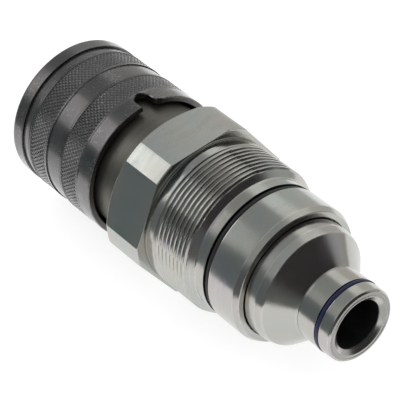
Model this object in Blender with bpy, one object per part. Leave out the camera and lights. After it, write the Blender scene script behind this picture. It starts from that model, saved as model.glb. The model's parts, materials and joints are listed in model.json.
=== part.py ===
"""Screw-in hydraulic quick coupler, socket half, lying along X with its nose at +X.

A zinc-plated housing with a hex and a mounting thread carries the nose piece at
one end and the dark socket at the other. Eight balls under a sprung sleeve hold
the plug. A sprung valve sleeve around a fixed stem closes the socket with a flat
face, and a sprung check poppet closes the nose.
"""
import math

import bmesh
import bpy
from mathutils import Matrix

MM = 0.001
GAP = 0.3                       # clearance between two neighbouring pieces

# Driving dimensions in millimetres. A station is a place along X.
NOSE_END = 57.75                # +X end of the coupler
SLEEVE_FRONT = -57.75           # -X end, the socket's mouth
HEX_ACROSS_FLATS = 43.7
HEX_CORNER_RADIUS = 23.7
HEX_REAR = 0.8
HEX_FRONT = -13.45
HEX_CHAMFER = 1.5               # axial length of the chamfer at the hex's front
THREAD_RADIUS = 21.0            # M42 x 1.5, outside of the thread
THREAD_REAR = 16.35
LAND_RADIUS = 19.2              # plain ends either side of the housing's seal
HOUSING_END = 34.35
HOUSING_GROOVE = (21.55, 23.55)
HOUSING_GROOVE_FLOOR = 17.4
PORT_SEAT = 25.0                # bottom of the bore that holds the nose piece
PORT_BORE_RADIUS = 16.9
CHAMBER_RADIUS = 13.5           # oil chamber in the middle of the housing
SOCKET_SEAT = 1.6               # bottom of the bore that holds the socket
SOCKET_SHANK_BORE = 15.7
NOSE_RADIUS = 10.2
NOSE_BORE_RADIUS = 6.75
NOSE_GROOVE = (52.4, 53.95)
CONE_FRONT = 46.05              # small end of the nose piece's cone
CONE_REAR = 40.05               # large end
CONE_LARGE_RADIUS = 16.0
PORT_BODY_RADIUS = 16.6
SEAT_FRONT = 41.0               # small end of the check valve's seat
SEAT_REAR = 37.5
SEAT_RADIUS = 10.2              # at the seat's large end
CHECK_BORE_RADIUS = 11.2
COLLAR_RADIUS = 18.3            # the socket's collar, seen between hex and sleeve
COLLAR_FRONT = -30.5
SOCKET_FRONT = -56.75
SOCKET_RADIUS = 15.7
SOCKET_BORE_RADIUS = 12.4
SOCKET_REAR = -3.0
BALL_COUNT = 8
BALL_RADIUS = 2.38
BALL_STATION = -49.25
BALL_LOCKED = 13.68             # radius of the ball centres with the sleeve forward
SLEEVE_REAR = -23.45
SLEEVE_RADIUS = 21.0
RIM_REAR = -53.6                # the smooth rim ends at the neck's groove
NECK_RADIUS = 20.3
FRONT_KNURL = (-49.9, -42.6)
REAR_KNURL = (-36.0, -29.3)
KNURL_RADIUS = 20.95
WAIST_RADIUS = 20.7             # plain band between the two knurls
SLEEVE_BORE_RADIUS = 19.3
SLEEVE_LAND_RADIUS = 16.3       # holds the balls in
SLEEVE_TRAVEL = 7.0
BALL_TRAVEL = 1.2               # outward, while the sleeve goes back its full travel
SLEEVE_SHOULDER = -45.0         # the sleeve spring pushes here
NOTCH_ANGLE = 6.4               # degrees from +Z towards +Y
NOTCH_WIDTH = 4.6
NOTCH_DEPTH = 5.1
FLAT_FACE = -44.75              # face of the stem and the valve sleeve
STEM_HEAD_RADIUS = 7.4
VALVE_BORE_RADIUS = 7.7
VALVE_RADIUS = 12.1
VALVE_REAR = -26.0
GUIDE = (-2.7, 1.3)             # front and back of the stem's guide

PORT_SEAL_GROOVE = (26.3, 28.7) # seal between nose piece and housing
PORT_RING_GROOVE = (30.5, 31.9) # snap ring that keeps the nose piece in
POPPET_FRONT = 40.3
POPPET_SEAL_GROOVE = (38.2, 39.5)
POPPET_BACK = 36.0
POPPET_RADIUS = 9.66
CHECK_STEM_END = 26.4
CHECK_GUIDE = (27.7, 29.0)
CHECK_RING_GROOVE = (26.0, 27.4)
ROD_RADIUS = 3.0                # thin end of the stem, and the poppet's rod
FRONT_RING_GROOVE = (-55.9, -54.5)
JOINT_GROOVE = (-10.0, -7.6)    # seal between socket and housing
PROBE_GROOVE = (-42.2, -37.2)   # seal and backup ring for the plug's probe
RAMP_FRONT = -54.2              # front end of the sleeve's ramp over the balls
MOUTH_RADIUS = 17.9             # inside of the sleeve ahead of its ramp
VALVE_SEAL_GROOVE = (-34.6, -32.5)
STEM_SEAL_GROOVE = (-43.3, -41.3)
STEM_RADIUS = 3.6
STEM_END = 7.5

AROUND_LARGE = 40               # facets around the large pieces
AROUND_SMALL = 28
AROUND_RING = 24
AROUND_NUT = 18
SECTION_SIDES = 6               # facets around the section of a seal


def clear_scene():
    """Remove whatever the file holds before the coupler is built."""
    for thing in list(bpy.data.objects):
        bpy.data.objects.remove(thing, do_unlink=True)


def metal(name, colour, roughness, metallic=1.0):
    """Make a plain Principled material."""
    material = bpy.data.materials.new(name)
    material.use_nodes = True
    shader = material.node_tree.nodes["Principled BSDF"]
    shader.inputs["Base Color"].default_value = (*colour, 1.0)
    shader.inputs["Roughness"].default_value = roughness
    shader.inputs["Metallic"].default_value = metallic
    material.diffuse_color = (*colour, 1.0)
    return material


def materials():
    """Give one material per finish, by name."""
    return {
        "zinc": metal("zinc_plated_steel", (0.66, 0.66, 0.63), 0.28),
        "dark": metal("phosphated_steel", (0.13, 0.12, 0.11), 0.38),
        "black": metal("blackened_steel", (0.10, 0.095, 0.095), 0.45),
        "bright": metal("hardened_steel", (0.72, 0.72, 0.72), 0.15),
        "spring": metal("spring_steel", (0.42, 0.42, 0.43), 0.35),
        "rubber": metal("black_rubber", (0.02, 0.02, 0.022), 0.55, 0.0),
        "blue": metal("blue_rubber", (0.02, 0.03, 0.13), 0.5, 0.0),
        "backup": metal("white_backup_ring", (0.80, 0.80, 0.76), 0.5, 0.0),
    }


def add_object(name, mesh_maker, station, material, parent):
    """Link an object whose origin lies on the coupler's axis at a station."""
    mesh = bpy.data.meshes.new(name)
    mesh_maker.to_mesh(mesh)
    mesh_maker.free()
    mesh.shade_smooth()
    mesh.set_sharp_from_angle(angle=math.radians(35))
    thing = bpy.data.objects.new(name, mesh)
    bpy.context.scene.collection.objects.link(thing)
    thing.location.x = station * MM
    thing.parent = parent
    if material:
        mesh.materials.append(material)
    return thing


def spun(outline, around, sweep=360.0, start=0.0):
    """Turn an outline of (station, radius) points about X into a closed mesh.

    The outline starts at its own first station. Angles are in degrees from +Z.
    """
    origin = outline[0][0]
    turned = bmesh.new()
    verts = [turned.verts.new(((x - origin) * MM, 0.0, r * MM)) for x, r in outline]
    whole = sweep >= 360.0
    touches_axis = outline[0][1] == 0.0
    if whole:
        pairs = list(zip(verts, verts[1:]))
        if not touches_axis:
            pairs.append((verts[-1], verts[0]))
        profile = [turned.edges.new(pair) for pair in pairs]
    else:
        profile = [turned.faces.new(verts)]
    bmesh.ops.spin(turned, geom=verts + profile, cent=(0, 0, 0), axis=(1, 0, 0),
                   angle=math.radians(sweep), steps=around, use_merge=whole,
                   use_duplicate=False)
    bmesh.ops.remove_doubles(turned, verts=turned.verts, dist=1e-7)
    bmesh.ops.recalc_face_normals(turned, faces=turned.faces)
    bmesh.ops.rotate(turned, verts=turned.verts, cent=(0, 0, 0),
                     matrix=Matrix.Rotation(math.radians(-start), 3, "X"))
    return turned


def turn(name, outline, material, parent, around=AROUND_LARGE):
    """Turn a piece on the lathe from an outline of (station, radius) points."""
    return add_object(name, spun(outline, around), outline[0][0], material, parent)


def groove(stations, top, floor):
    """Give the outline points of a square groove between two stations."""
    first, last = stations
    return [(first, top), (first, floor), (last, floor), (last, top)]


def middle(stations):
    """Give the station halfway between two stations."""
    return sum(stations) / 2


def flat_ring(stations, inner, outer):
    """Give the outline of a plain ring with a square section."""
    first, last = stations
    return [(first, inner), (first, outer), (last, outer), (last, inner)]


def o_ring(name, station, radius, section, material, parent):
    """Make a round-section ring; radius is that of the middle of its section."""
    outline = []
    for step in range(SECTION_SIDES):
        angle = 2 * math.pi * (step + 0.5) / SECTION_SIDES
        outline.append((station + section * math.cos(angle), radius + section * math.sin(angle)))
    return turn(name, outline, material, parent, AROUND_RING)


def split_ring(name, stations, radii, material, parent, opening=24.0):
    """Make a flat ring with an opening, as a snap ring has."""
    outline = flat_ring(stations, *radii)
    solid = spun(outline, AROUND_RING, 360.0 - opening, 180.0 + opening / 2)
    return add_object(name, solid, stations[0], material, parent)


def coil(name, stations, radius, wire, turns, material, parent):
    """Wind a spring; stations are those of its wire's two ends."""
    first, last = stations
    per_turn = 12
    count = int(turns * per_turn) + 1
    curve = bpy.data.curves.new(name, "CURVE")
    curve.dimensions = "3D"
    curve.bevel_depth = wire * MM
    curve.bevel_resolution = 1
    curve.use_fill_caps = True
    spline = curve.splines.new("POLY")
    spline.points.add(count - 1)
    for step in range(count):
        angle = 2 * math.pi * step / per_turn
        along = (last - first) * step / (count - 1)
        spline.points[step].co = (along * MM, radius * MM * math.sin(angle),
                                  radius * MM * math.cos(angle), 1.0)
    curve.materials.append(material)
    thing = bpy.data.objects.new(name, curve)
    bpy.context.scene.collection.objects.link(thing)
    thing.location.x = first * MM
    thing.parent = parent
    return thing


def cut(thing, cutter):
    """Cut one object with another, which stays as a hidden guide."""
    cutter.hide_render = True
    cutter.display_type = "WIRE"
    boolean = thing.modifiers.new(cutter.name, "BOOLEAN")
    boolean.operation = "DIFFERENCE"
    boolean.solver = "EXACT"
    boolean.object = cutter


def radial_holes(name, station, count, depth, radii, parent):
    """Make a ring of tapered drills that point out from the axis."""
    drills = bmesh.new()
    inner, outer = depth
    narrow, wide = radii
    for step in range(count):
        turn_angle = 2 * math.pi * step / count
        lift = Matrix.Translation((0, 0, (inner + outer) / 2 * MM))
        place = Matrix.Rotation(-turn_angle, 4, "X") @ lift
        bmesh.ops.create_cone(drills, cap_ends=True, segments=16, radius1=narrow * MM,
                              radius2=wide * MM, depth=(outer - inner) * MM, matrix=place)
    return add_object(name, drills, station, None, parent)


def axial_holes(name, stations, count, pitch_radius, radius, parent):
    """Make a ring of drills along the axis, for the oil windows of a guide."""
    first, last = stations
    drills = bmesh.new()
    flip = Matrix.Rotation(math.radians(90), 4, "Y")
    for step in range(count):
        angle = 2 * math.pi * (step + 0.5) / count
        place = Matrix.Translation(((last - first) / 2 * MM, pitch_radius * MM * math.sin(angle),
                                    pitch_radius * MM * math.cos(angle))) @ flip
        bmesh.ops.create_cone(drills, cap_ends=True, segments=14, radius1=radius * MM,
                              radius2=radius * MM, depth=(last - first) * MM, matrix=place)
    return add_object(name, drills, first, None, parent)


def hex_around(name, stations, across_flats, reach, parent):
    """Make a six-sided frame whose hole leaves a hex, with one flat level."""
    first, last = stations
    corner = across_flats / 2 / math.cos(math.radians(30))
    outline = [(first, corner), (first, reach), (last, reach), (last, corner)]
    return add_object(name, spun(outline, 6, start=30.0), first, None, parent)


def build_housing(finish, axis):
    """Make the housing: hex, thread, seal land and plain end, bored from both ends."""
    half_flats = HEX_ACROSS_FLATS / 2
    outline = [
        (HEX_FRONT, SOCKET_SHANK_BORE),
        (HEX_FRONT, half_flats - 0.05),
        (HEX_FRONT + HEX_CHAMFER, HEX_CORNER_RADIUS),
        (HEX_REAR, HEX_CORNER_RADIUS),
        (HEX_REAR, THREAD_RADIUS),
        (THREAD_REAR, THREAD_RADIUS),
        (THREAD_REAR + 1.9, LAND_RADIUS + 0.1),
        *groove(HOUSING_GROOVE, LAND_RADIUS, HOUSING_GROOVE_FLOOR),
        (HOUSING_END - 1.6, LAND_RADIUS),
        (HOUSING_END, LAND_RADIUS - 0.8),
        (HOUSING_END, PORT_BORE_RADIUS),
        *groove(reversed(PORT_RING_GROOVE), PORT_BORE_RADIUS, PORT_BORE_RADIUS + 0.8),
        (PORT_SEAT, PORT_BORE_RADIUS),
        (PORT_SEAT, CHAMBER_RADIUS),
        (SOCKET_SEAT, CHAMBER_RADIUS),
        (SOCKET_SEAT, SOCKET_SHANK_BORE),
    ]
    housing = turn("cartridge_housing", outline, finish["zinc"], axis)
    past_hex = (HEX_FRONT - 2, HEX_REAR + 1.5)
    cut(housing, hex_around("hex_flats_cutter", past_hex, HEX_ACROSS_FLATS, 30.0, axis))
    o_ring("housing_o_ring", middle(HOUSING_GROOVE), 18.35, 0.65, finish["rubber"], axis)
    ring = (PORT_RING_GROOVE[0] + GAP, PORT_RING_GROOVE[1] - GAP)
    split_ring("port_snap_ring", ring, (15.9, 17.4), finish["spring"], axis)


def build_nose_piece(finish, axis):
    """Make the nose piece: spigot, cone, and the check valve's bore and seat."""
    end_chamfer = 0.5
    outline = [
        (PORT_SEAT + GAP, CHECK_BORE_RADIUS),
        (PORT_SEAT + GAP, PORT_BODY_RADIUS),
        *groove(PORT_SEAL_GROOVE, PORT_BODY_RADIUS, PORT_BODY_RADIUS - 1.9),
        *groove(PORT_RING_GROOVE, PORT_BODY_RADIUS, PORT_BODY_RADIUS - 1.0),
        (CONE_REAR - 2.1, PORT_BODY_RADIUS),
        (CONE_REAR, CONE_LARGE_RADIUS),
        (CONE_FRONT, NOSE_RADIUS + 0.25),
        (CONE_FRONT + 0.6, NOSE_RADIUS),
        *groove(NOSE_GROOVE, NOSE_RADIUS, NOSE_RADIUS - 1.4),
        (NOSE_END - end_chamfer, NOSE_RADIUS - 0.15),
        (NOSE_END, NOSE_RADIUS - 0.6),
        (NOSE_END, NOSE_BORE_RADIUS + 1.45),
        (NOSE_END - 2 * end_chamfer, NOSE_BORE_RADIUS),
        (SEAT_FRONT, NOSE_BORE_RADIUS),
        (SEAT_REAR, SEAT_RADIUS),
        (SEAT_REAR, CHECK_BORE_RADIUS),
        *groove(reversed(CHECK_RING_GROOVE), CHECK_BORE_RADIUS, CHECK_BORE_RADIUS + 0.8),
    ]
    turn("nose_piece", outline, finish["zinc"], axis)
    o_ring("nose_o_ring", middle(NOSE_GROOVE), 9.72, 0.62, finish["blue"], axis)
    o_ring("nose_piece_o_ring", middle(PORT_SEAL_GROOVE), 15.75, 0.75, finish["rubber"], axis)


def build_check_valve(finish, axis):
    """Make the sprung poppet that closes the nose, with its seal, guide and ring."""
    face_radius = 6.9
    groove_floor = 6.6
    widening = (POPPET_RADIUS - face_radius) / (POPPET_FRONT - SEAT_REAR)
    groove_back, groove_front = POPPET_SEAL_GROOVE
    outline = [
        (POPPET_FRONT, 0.0),
        (POPPET_FRONT, face_radius),
        (groove_front, face_radius + widening * (POPPET_FRONT - groove_front)),
        (groove_front, groove_floor),
        (groove_back, groove_floor),
        (groove_back, face_radius + widening * (POPPET_FRONT - groove_back)),
        (SEAT_REAR, POPPET_RADIUS),
        (POPPET_BACK, POPPET_RADIUS),
        (POPPET_BACK, ROD_RADIUS),
        (CHECK_STEM_END, ROD_RADIUS),
        (CHECK_STEM_END, 0.0),
    ]
    turn("check_poppet", outline, finish["bright"], axis, AROUND_SMALL)
    o_ring("check_seal", middle(POPPET_SEAL_GROOVE), 7.45, 0.5, finish["rubber"], axis)
    wire = 0.6
    ends = (POPPET_BACK - wire - GAP, CHECK_GUIDE[1] + wire + GAP)
    coil("check_spring", ends, 7.4, wire, 2.5, finish["spring"], axis)
    disc = flat_ring(CHECK_GUIDE, ROD_RADIUS + GAP, CHECK_BORE_RADIUS - GAP)
    guide = turn("check_guide", disc, finish["bright"], axis, AROUND_SMALL)
    past_guide = (CHECK_GUIDE[0] - 1, CHECK_GUIDE[1] + 1)
    cut(guide, axial_holes("check_windows_cutter", past_guide, 4, 7.0, 1.9, axis))
    ring = (CHECK_RING_GROOVE[0] + GAP, CHECK_RING_GROOVE[1] - GAP)
    split_ring("check_guide_ring", ring, (10.0, 11.7), finish["spring"], axis)


def build_socket(finish, axis):
    """Make the socket: its collar, its ball holes, its probe seal and the joint ring."""
    shank_radius = SOCKET_SHANK_BORE - GAP
    outline = [
        (SOCKET_FRONT, SOCKET_BORE_RADIUS + 1.0),
        (SOCKET_FRONT, SOCKET_RADIUS - 0.4),
        (SOCKET_FRONT + 0.4, SOCKET_RADIUS),
        *groove(FRONT_RING_GROOVE, SOCKET_RADIUS, SOCKET_RADIUS - 0.8),
        (COLLAR_FRONT, SOCKET_RADIUS),
        (COLLAR_FRONT, COLLAR_RADIUS),
        (HEX_FRONT - GAP, COLLAR_RADIUS),
        (HEX_FRONT - GAP, shank_radius),
        *groove(JOINT_GROOVE, shank_radius, shank_radius - 1.7),
        (SOCKET_REAR, shank_radius),
        (SOCKET_REAR, SOCKET_BORE_RADIUS),
        *groove(reversed(PROBE_GROOVE), SOCKET_BORE_RADIUS, SOCKET_BORE_RADIUS + 2.1),
        (SOCKET_FRONT + 1.4, SOCKET_BORE_RADIUS),
    ]
    socket = turn("socket_body", outline, finish["dark"], axis)
    cut(socket, radial_holes("ball_holes_cutter", BALL_STATION, BALL_COUNT, (11.6, 17.0),
                             (2.2, 3.1), axis))
    o_ring("socket_joint_o_ring", middle(JOINT_GROOVE), 14.65, 0.7, finish["rubber"], axis)
    o_ring("probe_seal", PROBE_GROOVE[0] + 1.6, 13.4, 0.9, finish["rubber"], axis)
    backup = flat_ring((PROBE_GROOVE[1] - 2.2, PROBE_GROOVE[1] - 0.5), 12.6, 14.2)
    turn("probe_backup_ring", backup, finish["backup"], axis, AROUND_RING)
    ring = (FRONT_RING_GROOVE[0] + GAP / 2, FRONT_RING_GROOVE[1] - GAP / 2)
    split_ring("front_snap_ring", ring, (15.15, MOUTH_RADIUS - 0.4), finish["spring"], axis)


def build_balls(finish, axis):
    """Set the locking balls in the socket's holes, each on its own empty."""
    for number in range(BALL_COUNT):
        sphere = bmesh.new()
        bmesh.ops.create_uvsphere(sphere, u_segments=14, v_segments=8, radius=BALL_RADIUS * MM)
        angle = 2 * math.pi * number / BALL_COUNT
        name = f"lock_ball_{number + 1}"
        ball = add_object(name, sphere, BALL_STATION, finish["bright"], axis)
        ball.location.y = BALL_LOCKED * MM * math.sin(angle)
        ball.location.z = BALL_LOCKED * MM * math.cos(angle)
        ball.rotation_euler.x = -angle


def notch_outline():
    """Give the notch's edge as (station, sideways) points, open towards the hex."""
    half = NOTCH_WIDTH / 2
    centre = SLEEVE_REAR - NOTCH_DEPTH + half
    beyond = SLEEVE_REAR + 1.5
    points = [(beyond, -half)]
    for step in range(9):
        angle = math.pi * (step / 8 + 0.5)
        points.append((centre + half * math.cos(angle), -half * math.sin(angle)))
    ramp = 2.0
    for step in range(5):
        share = step / 4
        ease = share * share * (3 - 2 * share)
        points.append((SLEEVE_REAR - 1.7 + 1.5 * share, half + ramp * ease))
    points.append((beyond, half + ramp))
    return points


def build_sleeve(finish, axis):
    """Make the locking sleeve with its long ramp over the balls, and its notch."""
    slope = BALL_TRAVEL / SLEEVE_TRAVEL
    land_front = BALL_STATION + 1.0
    ramp_radius = SLEEVE_LAND_RADIUS + slope * (land_front - RAMP_FRONT)
    outline = [
        (SLEEVE_FRONT, MOUTH_RADIUS + 0.5),
        (SLEEVE_FRONT, SLEEVE_RADIUS - 0.7),
        (SLEEVE_FRONT + 0.7, SLEEVE_RADIUS),
        (RIM_REAR, SLEEVE_RADIUS),
        (RIM_REAR + 0.4, NECK_RADIUS),
        (FRONT_KNURL[0], KNURL_RADIUS),
        (FRONT_KNURL[1], KNURL_RADIUS),
        (FRONT_KNURL[1] + 0.6, WAIST_RADIUS),
        (REAR_KNURL[0] - 0.6, WAIST_RADIUS),
        (REAR_KNURL[0], KNURL_RADIUS),
        (REAR_KNURL[1], KNURL_RADIUS),
        (REAR_KNURL[1] + 0.4, 20.9),
        (SLEEVE_REAR - 0.3, 20.9),
        (SLEEVE_REAR, 20.6),
        (SLEEVE_REAR, SLEEVE_BORE_RADIUS),
        (SLEEVE_SHOULDER, SLEEVE_BORE_RADIUS),
        (SLEEVE_SHOULDER, SLEEVE_LAND_RADIUS),
        (land_front, SLEEVE_LAND_RADIUS),
        (RAMP_FRONT, ramp_radius),
        (RAMP_FRONT, MOUTH_RADIUS),
        (SLEEVE_FRONT + 0.5, MOUTH_RADIUS),
    ]
    sleeve = turn("locking_sleeve", outline, finish["black"], axis)
    plan = bmesh.new()
    base = 18.7 * MM
    verts = [plan.verts.new(((x - SLEEVE_REAR) * MM, y * MM, base)) for x, y in notch_outline()]
    face = plan.faces.new(verts)
    raised = bmesh.ops.extrude_face_region(plan, geom=[face])["geom"]
    raised = [part for part in raised if isinstance(part, bmesh.types.BMVert)]
    bmesh.ops.translate(plan, verts=raised, vec=(0, 0, 4.0 * MM))
    bmesh.ops.recalc_face_normals(plan, faces=plan.faces)
    notch = add_object("notch_cutter", plan, SLEEVE_REAR, None, axis)
    notch.rotation_euler.x = -math.radians(NOTCH_ANGLE)
    cut(sleeve, notch)


def build_sleeve_spring(finish, axis):
    """Make the spring that holds the sleeve forward, and the washer it pushes on."""
    front = SLEEVE_SHOULDER + GAP
    back = front + 1.0
    turn("spring_washer", flat_ring((front, back), 16.2, 18.9), finish["spring"], axis)
    wire = 0.8
    ends = (back + wire + 0.5, COLLAR_FRONT - wire - 0.4)
    coil("sleeve_spring", ends, 17.4, wire, 2.75, finish["spring"], axis)


def build_flat_face_valve(finish, axis):
    """Make the fixed stem and the sprung valve sleeve that slides around its head."""
    guide_front = GUIDE[0]
    stem = [
        (FLAT_FACE, 0.0),
        (FLAT_FACE, STEM_HEAD_RADIUS),
        *groove(STEM_SEAL_GROOVE, STEM_HEAD_RADIUS, STEM_HEAD_RADIUS - 1.7),
        (STEM_SEAL_GROOVE[1] + 2.3, STEM_HEAD_RADIUS),
        (STEM_SEAL_GROOVE[1] + 5.3, STEM_RADIUS),
        (guide_front - 1.5, STEM_RADIUS),
        (guide_front - 1.5, STEM_RADIUS + 1.0),
        (guide_front - GAP, STEM_RADIUS + 1.0),
        (guide_front - GAP, ROD_RADIUS),
        (STEM_END, ROD_RADIUS),
        (STEM_END, 0.0),
    ]
    turn("flat_face_stem", stem, finish["bright"], axis, AROUND_SMALL)
    o_ring("stem_seal", middle(STEM_SEAL_GROOVE), 6.65, 0.65, finish["rubber"], axis)
    sleeve = [
        (FLAT_FACE, VALVE_BORE_RADIUS),
        (FLAT_FACE, VALVE_RADIUS - 0.3),
        (FLAT_FACE + 0.3, VALVE_RADIUS),
        *groove(VALVE_SEAL_GROOVE, VALVE_RADIUS, VALVE_RADIUS - 1.8),
        (VALVE_REAR, VALVE_RADIUS),
        (VALVE_REAR, VALVE_BORE_RADIUS + 1.3),
        (VALVE_SEAL_GROOVE[0] - 1.0, VALVE_BORE_RADIUS + 1.3),
        (VALVE_SEAL_GROOVE[0] - 2.4, VALVE_BORE_RADIUS),
    ]
    turn("valve_sleeve", sleeve, finish["bright"], axis)
    o_ring("valve_sleeve_seal", middle(VALVE_SEAL_GROOVE), 11.35, 0.7, finish["rubber"], axis)
    wire = 0.8
    ends = (VALVE_REAR + wire + GAP, guide_front - wire - GAP)
    coil("valve_spring", ends, 10.5, wire, 4.5, finish["spring"], axis)


def build_stem_guide(finish, axis):
    """Make the guide that carries the stem, with the washer and nut behind it."""
    front, back = GUIDE
    hole = ROD_RADIUS + GAP
    disc = flat_ring(GUIDE, hole, SOCKET_SHANK_BORE - GAP)
    guide = turn("stem_guide", disc, finish["bright"], axis)
    cut(guide, axial_holes("guide_windows_cutter", (front - 1, back + 1), 6, 8.9, 2.3, axis))
    washer = (back + GAP, back + 1.1)
    turn("stem_lock_washer", flat_ring(washer, hole, 5.4), finish["spring"], axis, AROUND_RING)
    nut_ends = (washer[1] + GAP, washer[1] + GAP + 4.0)
    nut = turn("stem_nut", flat_ring(nut_ends, hole, 5.8), finish["bright"], axis, AROUND_NUT)
    past_nut = (nut_ends[0] - 1, nut_ends[1] + 1)
    cut(nut, hex_around("nut_flats_cutter", past_nut, 10.0, 9.0, axis))


def main():
    """Build the coupler under one empty on its axis."""
    clear_scene()
    axis = bpy.data.objects.new("coupler_axis", None)
    bpy.context.scene.collection.objects.link(axis)
    finish = materials()
    build_housing(finish, axis)
    build_nose_piece(finish, axis)
    build_check_valve(finish, axis)
    build_socket(finish, axis)
    build_balls(finish, axis)
    build_sleeve(finish, axis)
    build_sleeve_spring(finish, axis)
    build_flat_face_valve(finish, axis)
    build_stem_guide(finish, axis)
    bpy.context.view_layer.update()


main()
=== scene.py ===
# %% [markdown]
# # A hydraulic quick coupler, finished for rendering
#
# The coupler is the socket half of a flat-face pair: a zinc-plated cartridge that screws into
# a valve block, with a black knurled sleeve that the operator pulls back with two fingers.
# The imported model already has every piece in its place, with plain facets. This lesson builds
# the surfaces one piece at a time: real knurling, a real thread, eased edges and plated steel.

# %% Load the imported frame
import json
import math

import bmesh
import bpy
from mathutils import Euler, Matrix, Vector


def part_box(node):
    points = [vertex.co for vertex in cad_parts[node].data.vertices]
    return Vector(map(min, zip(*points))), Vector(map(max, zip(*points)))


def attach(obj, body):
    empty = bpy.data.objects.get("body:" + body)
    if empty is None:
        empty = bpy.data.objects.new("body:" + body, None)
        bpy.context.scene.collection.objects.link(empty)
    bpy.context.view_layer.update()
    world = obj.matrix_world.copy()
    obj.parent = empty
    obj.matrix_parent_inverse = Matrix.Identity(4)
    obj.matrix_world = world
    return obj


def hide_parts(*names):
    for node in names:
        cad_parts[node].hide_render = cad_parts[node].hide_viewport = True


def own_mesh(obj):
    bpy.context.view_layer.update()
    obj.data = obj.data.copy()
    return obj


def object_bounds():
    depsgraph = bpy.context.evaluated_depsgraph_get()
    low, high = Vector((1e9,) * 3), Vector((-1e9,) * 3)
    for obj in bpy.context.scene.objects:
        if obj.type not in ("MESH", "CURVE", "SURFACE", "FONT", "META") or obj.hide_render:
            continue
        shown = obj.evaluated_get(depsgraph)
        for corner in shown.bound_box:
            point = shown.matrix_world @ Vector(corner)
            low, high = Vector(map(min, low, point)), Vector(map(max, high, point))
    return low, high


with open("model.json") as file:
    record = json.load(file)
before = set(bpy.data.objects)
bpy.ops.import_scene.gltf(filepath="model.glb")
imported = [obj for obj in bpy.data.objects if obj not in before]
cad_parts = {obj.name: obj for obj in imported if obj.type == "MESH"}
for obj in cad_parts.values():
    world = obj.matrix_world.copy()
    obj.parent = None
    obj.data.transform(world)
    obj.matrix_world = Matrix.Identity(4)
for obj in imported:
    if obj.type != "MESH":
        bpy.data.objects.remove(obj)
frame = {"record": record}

cad_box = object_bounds()
print("packed model, mm:", [round((high - low) * 1000, 2) for low, high in zip(*cad_box)])

# %% [markdown]
# Every piece takes its place from the node that it stands for. The record says which body a
# node moves with and which finish it has; the body is looked up instead of being typed again.
# The coupler lies along X with its nose at +X. A station is a place along X in millimetres,
# and an angle is measured from straight up towards +Y.

# %% Look up bodies and places
MM = 0.001
record = frame["record"]
BODY_OF = {node: body for body, nodes in record["behaviour"]["bodies"].items() for node in nodes}


def ends(node):
    """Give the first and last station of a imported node, in millimetres."""
    low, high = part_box(node)
    return low.x / MM, high.x / MM


def reach(node):
    """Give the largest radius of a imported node, in millimetres."""
    low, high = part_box(node)
    return max(-low.y, high.y, -low.z, high.z) / MM


# %% [markdown]
# ## Tools of the workshop
#
# A turned piece could be a curve under a Screw modifier. Here rings of points are skinned
# with faces instead, because the same tool then also makes hexagons, knurls and threads:
# only the rule for a ring's radius changes. Each point also carries a wear value, which the
# materials read later to brighten the edges that hands and spanners rub.

# %% Skin rings of points with faces
WEAR = "wear"
SAME_PLACE = 2e-8               # points nearer than this, in metres, are one point
SHARP = 34.0                    # degrees; a sharper edge stays crisp
HEXAGON_SHARP = 21.0            # less on a hexagon, whose turned corners meet its flats gently


def on_axis(station, radius, angle):
    """Give the point at a station, a radius and an angle about the coupler's axis."""
    return Vector((station, radius * math.sin(angle), radius * math.cos(angle))) * MM


def add_rings(work, rings, wear, closed=True, diagonal=None):
    """Join rings of points by faces; a ring of one point closes the piece at its axis."""
    layer = work.verts.layers.float.get(WEAR) or work.verts.layers.float.new(WEAR)
    rows = []
    for ring, worn in zip(rings, wear):
        row = [work.verts.new(point) for point in ring]
        for vert in row:
            vert[layer] = worn
        rows.append(row)
    pairs = list(zip(rows, rows[1:]))
    if closed:
        pairs.append((rows[-1], rows[0]))
    for step, (one, two) in enumerate(pairs):
        for place in range(max(len(one), len(two))):
            near, far = place % len(one), (place + 1) % len(one)
            back, front = place % len(two), (place + 1) % len(two)
            corners = [one[near], one[far], two[front], two[back]]
            corners = list(dict.fromkeys(corners))
            if len(corners) < 3:
                continue
            if diagonal and len(corners) == 4 and diagonal(place, step) is not None:
                turn = corners if diagonal(place, step) else corners[1:] + corners[:1]
                work.faces.new((turn[0], turn[1], turn[2]))
                work.faces.new((turn[0], turn[2], turn[3]))
            else:
                work.faces.new(corners)
    return rows


def add_object(name, data):
    """Put a mesh, a curve, a lamp or a camera into the scene."""
    item = bpy.data.objects.new(name, data)
    bpy.context.scene.collection.objects.link(item)
    return item


def shade(mesh, sharp=SHARP):
    """Shade a mesh smooth, but for its sharp edges."""
    mesh.shade_smooth()
    mesh.set_sharp_from_angle(angle=math.radians(sharp))


def finish_mesh(name, work, sharp=SHARP):
    """Turn the work into an object with outward faces, smooth but for its sharp edges."""
    bmesh.ops.remove_doubles(work, verts=work.verts, dist=SAME_PLACE)
    bmesh.ops.dissolve_degenerate(work, dist=SAME_PLACE, edges=work.edges)
    bmesh.ops.recalc_face_normals(work, faces=work.faces)
    mesh = bpy.data.meshes.new(name)
    work.to_mesh(mesh)
    work.free()
    shade(mesh, sharp)
    return add_object(name, mesh)


# %% [markdown]
# No machined edge is a perfect corner: a tool or a tumbler leaves a small radius, and that
# radius is what catches the light as a thin bright line. A Bevel modifier could add it, but
# easing the outline before it is turned gives even rings and never breaks at a crossing. A
# guard point beside each eased corner keeps the flat beyond it flat: without one, the
# corner's tilted normals and its wear would spread along the whole face.

# %% Ease the corners of an outline
EASE = 0.12                     # usual radius of a deburred edge
EASE_STEPS = 3
GUARD = 0.2                     # most that a guard point stands off from an eased corner
EDGE_SHARE = 0.45               # most of an edge that easing one of its ends may use
GUARD_SHARE = 0.04              # most of an edge that a guard point may use


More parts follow.
